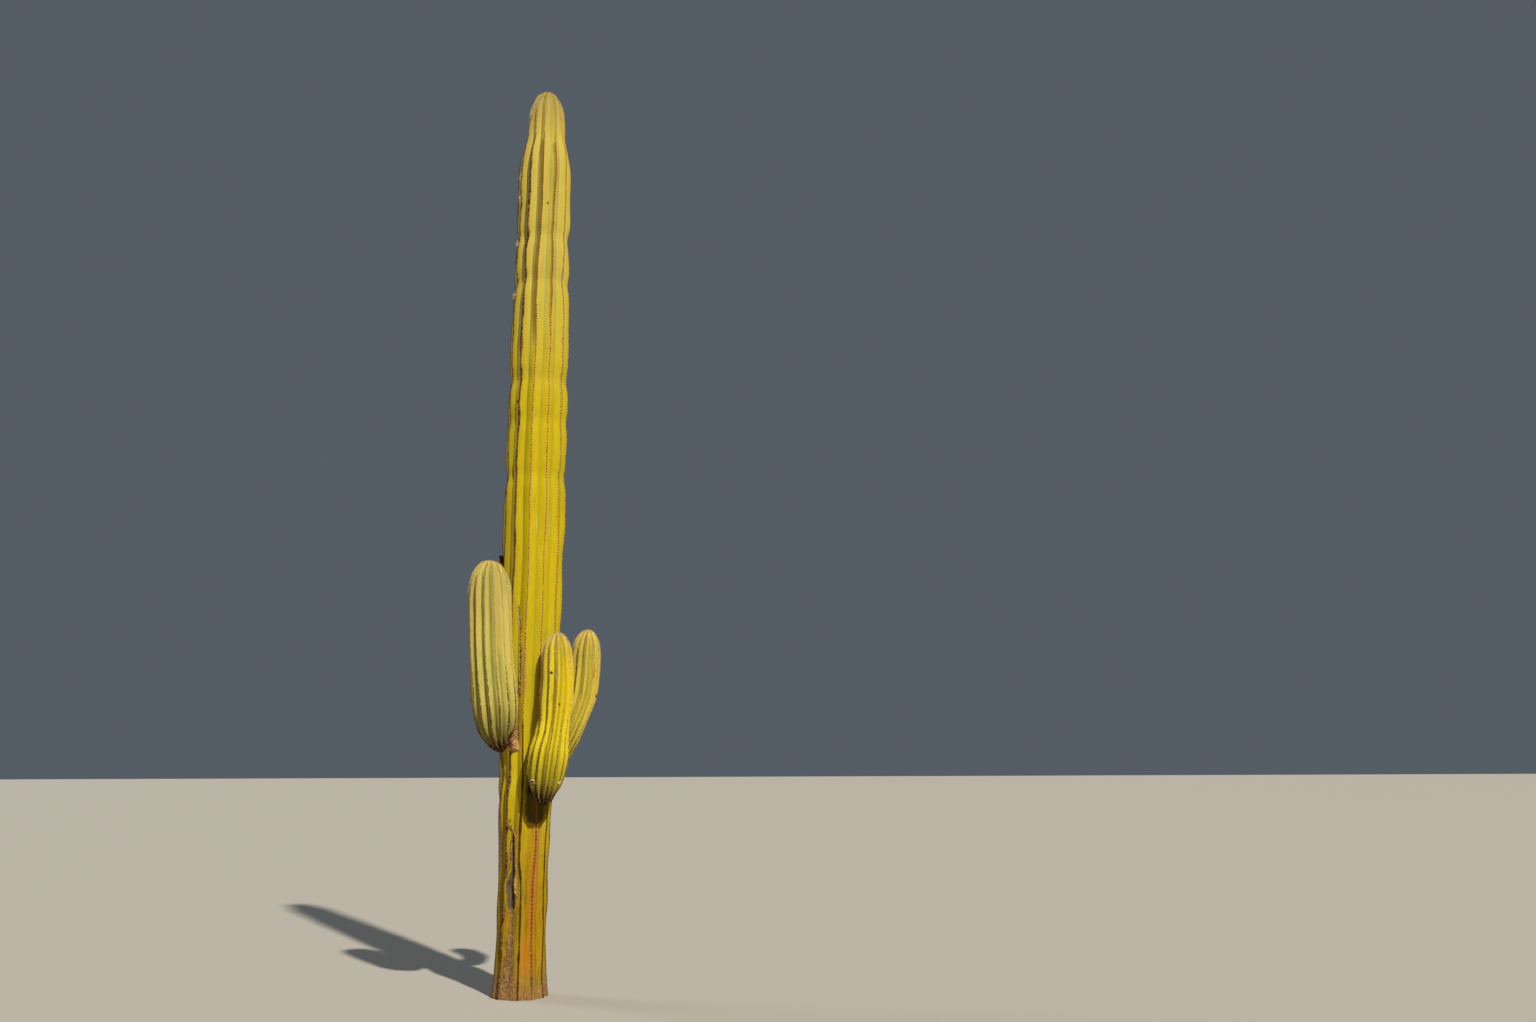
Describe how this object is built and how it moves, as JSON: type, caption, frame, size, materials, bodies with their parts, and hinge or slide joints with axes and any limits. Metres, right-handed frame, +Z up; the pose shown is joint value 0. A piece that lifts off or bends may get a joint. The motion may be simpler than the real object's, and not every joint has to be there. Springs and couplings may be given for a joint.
{
  "type": "cardon cactus",
  "caption": "Whole cardon cactus: a tall ribbed column cut flat at ground level, barrel-shaped arms on short woody necks low on the column, and a cluster of dried buds on a rib.",
  "frame": {"origin": "middle of the flat cut under the main stem, at ground level", "axes": "+Z up along the main stem, +Y from the picture's camera towards the plant, +X to the right in the picture"},
  "size_m": [0.8572, 0.6124, 6.09],
  "materials": {
    "stem_skin": "waxy yellow-green skin",
    "pale_arm_skin": "waxy skin with a pale bloom",
    "arm_skin": "waxy green-yellow skin",
    "cork": "dry corky bark",
    "dry_bud": "dry and papery",
    "spine": "matte",
    "wool": "matte felt"
  },
  "bodies": {
    "root": {"main_stem": "stem_skin", "left_arm": "pale_arm_skin", "front_arm": "arm_skin", "right_arm": "arm_skin", "dried_buds": "dry_bud"}
  },
  "joints": []
}
